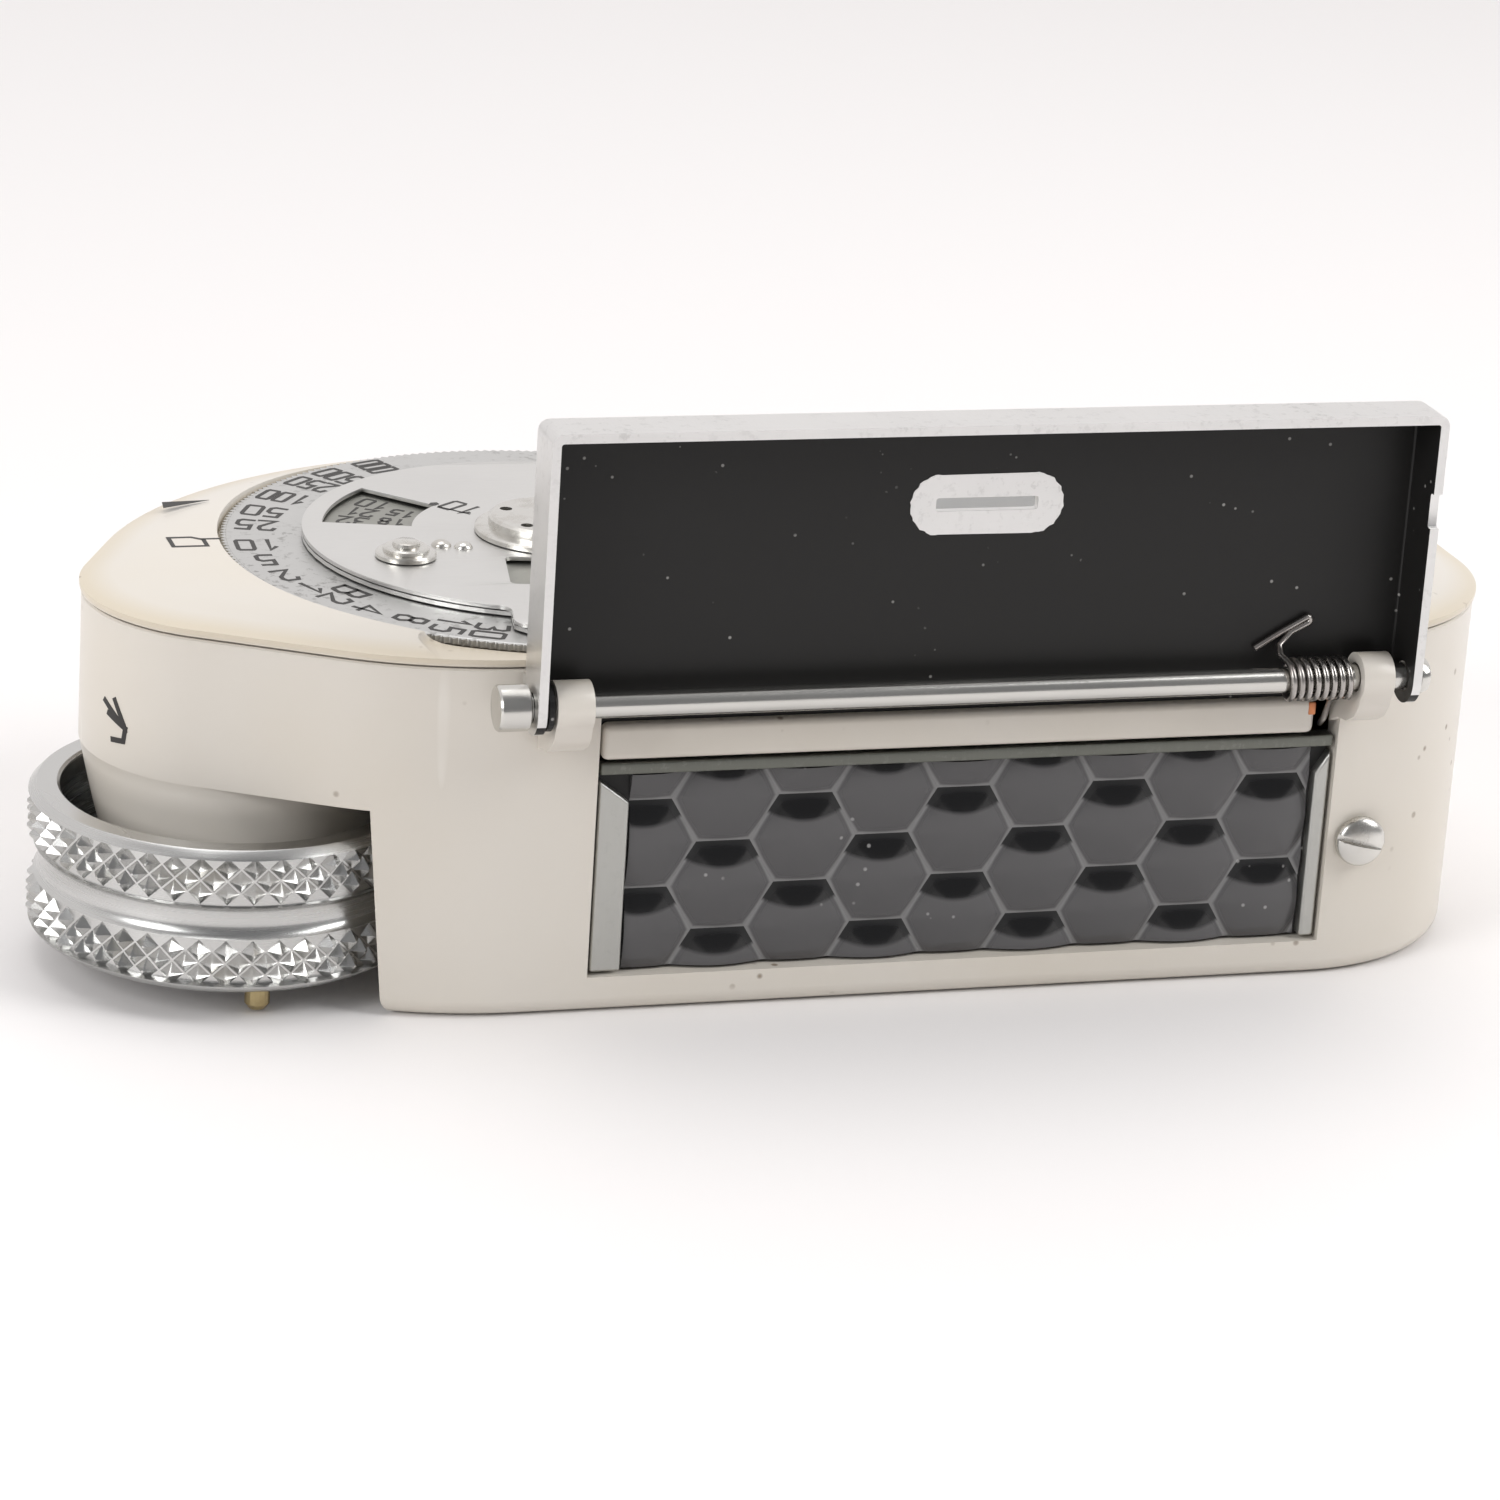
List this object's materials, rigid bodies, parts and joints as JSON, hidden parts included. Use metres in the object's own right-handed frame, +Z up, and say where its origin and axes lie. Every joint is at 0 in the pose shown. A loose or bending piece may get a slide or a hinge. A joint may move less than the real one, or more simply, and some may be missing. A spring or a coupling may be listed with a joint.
{
  "type": "selenium light meter",
  "caption": "Clip-on selenium light meter with cream enamel body, geared exposure dial, coupling wheel and a hinged lid over its honeycomb lens.",
  "frame": {"origin": "on the exposure dial's axis, at the level of the underside", "axes": "+Z up, +Y to the back, +X along the body towards its right end, away from the coupling wheel"},
  "size_m": [0.0662, 0.0331, 0.0271],
  "materials": {
    "enamel": "cream enamel",
    "steel": "bright",
    "aluminium": "turned",
    "silver_satin": "satin",
    "brass": "turned",
    "black_paint": "satin black",
    "lens_glass": "moulded lens",
    "clear_glass": "clear",
    "selenium": "matt",
    "board": "matt",
    "white_paint": "matt",
    "magnet": "cast",
    "copper": "wound"
  },
  "bodies": {
    "root": {"lower_housing": "enamel", "top_cover": "enamel", "base_plate": "steel", "shoe_foot": "steel", "foot_screw_1": "steel", "foot_screw_2": "steel", "base_screw_1": "steel", "base_screw_2": "steel", "base_screw_3": "steel", "chassis_post_1": "brass", "chassis_post_2": "brass", "chassis_post_3": "brass", "lens_frame": "steel", "honeycomb_lens": "lens_glass", "selenium_cell": "selenium", "cell_backing": "board", "cell_contact": "copper", "catch_screw": "steel", "hinge_rod": "steel", "hinge_washer": "black_paint", "wheel_bush": "brass", "lift_spring": "steel", "chassis_plate": "brass", "dial_stud": "steel", "idler_post": "steel", "hub_nut": "silver_satin", "movement_magnet": "magnet", "pole_core": "steel", "movement_frame": "brass", "jewel_screw_bottom": "steel", "jewel_screw_top": "steel", "scale_plate": "white_paint", "window_glass": "clear_glass"},
    "lid": {"lid": "silver_satin", "lid_spring": "steel"},
    "wheel_lift": {"lift_collar": "brass"},
    "wheel": {"coupling_wheel": "aluminium", "coupling_pin": "brass", "wheel_shaft": "steel", "wheel_screw": "steel", "wheel_pinion": "brass"},
    "dial": {"dial_ring": "silver_satin", "dial_gear": "brass", "dial_hub": "brass", "film_disc": "silver_satin"},
    "idler": {"idler_gear": "brass"},
    "film_plate_body": {"film_plate": "silver_satin", "film_spacer": "silver_satin", "plate_rivet": "silver_satin"},
    "needle_body": {"needle": "black_paint", "counterweight": "brass", "needle_staff": "steel", "moving_coil": "copper", "hairspring": "brass"},
    "zero_screw_body": {"zero_screw": "brass"}
  },
  "joints": [
    {"name": "lid_hinge", "type": "hinge", "parent": "root", "child": "lid", "pos_m": [0, -0.0169, 0.01492], "axis": [1, 0, 0], "range_deg": [0, 180], "stiffness_Nm_per_rad": 0.0002, "springref_deg": -17.19},
    {"name": "wheel_lift", "type": "slide", "parent": "root", "child": "wheel_lift", "axis": [0, 0, 1], "range_m": [0, 0.001], "stiffness_N_per_m": 60, "springref_m": -0.001, "deforming": ["lift_spring"]},
    {"name": "wheel_turn", "type": "hinge", "parent": "wheel_lift", "child": "wheel", "pos_m": [-0.01535, -0.0056, 0.004], "axis": [0, 0, 1], "range_deg": [-150.5, 150.5]},
    {"name": "dial_turn", "type": "hinge", "parent": "root", "child": "dial", "pos_m": [0, 0, 0.0165], "axis": [0, 0, 1], "range_deg": [-50, 50]},
    {"name": "idler_turn", "type": "hinge", "parent": "root", "child": "idler", "pos_m": [-0.00972, -0.00525, 0.0135], "axis": [0, 0, 1], "range_deg": [-139, 139]},
    {"name": "film_turn", "type": "hinge", "parent": "dial", "child": "film_plate_body", "pos_m": [0, 0, 0.017], "axis": [0, 0, 1], "range_deg": [-60, 60]},
    {"name": "needle_swing", "type": "hinge", "parent": "root", "child": "needle_body", "pos_m": [0.027, -0.0015, 0.0129], "axis": [0, 0, 1], "range_deg": [-80, 0], "stiffness_Nm_per_rad": 0.000001},
    {"name": "zero_turn", "type": "hinge", "parent": "root", "child": "zero_screw_body", "pos_m": [0.033, 0.005, 0.002], "axis": [0, 0, 1], "range_deg": [-20, 20]}
  ],
  "couplings": [
    {"joint": "wheel_turn", "follows": "dial_turn", "ratio": 3},
    {"joint": "idler_turn", "follows": "dial_turn", "ratio": -2.7692}
  ]
}
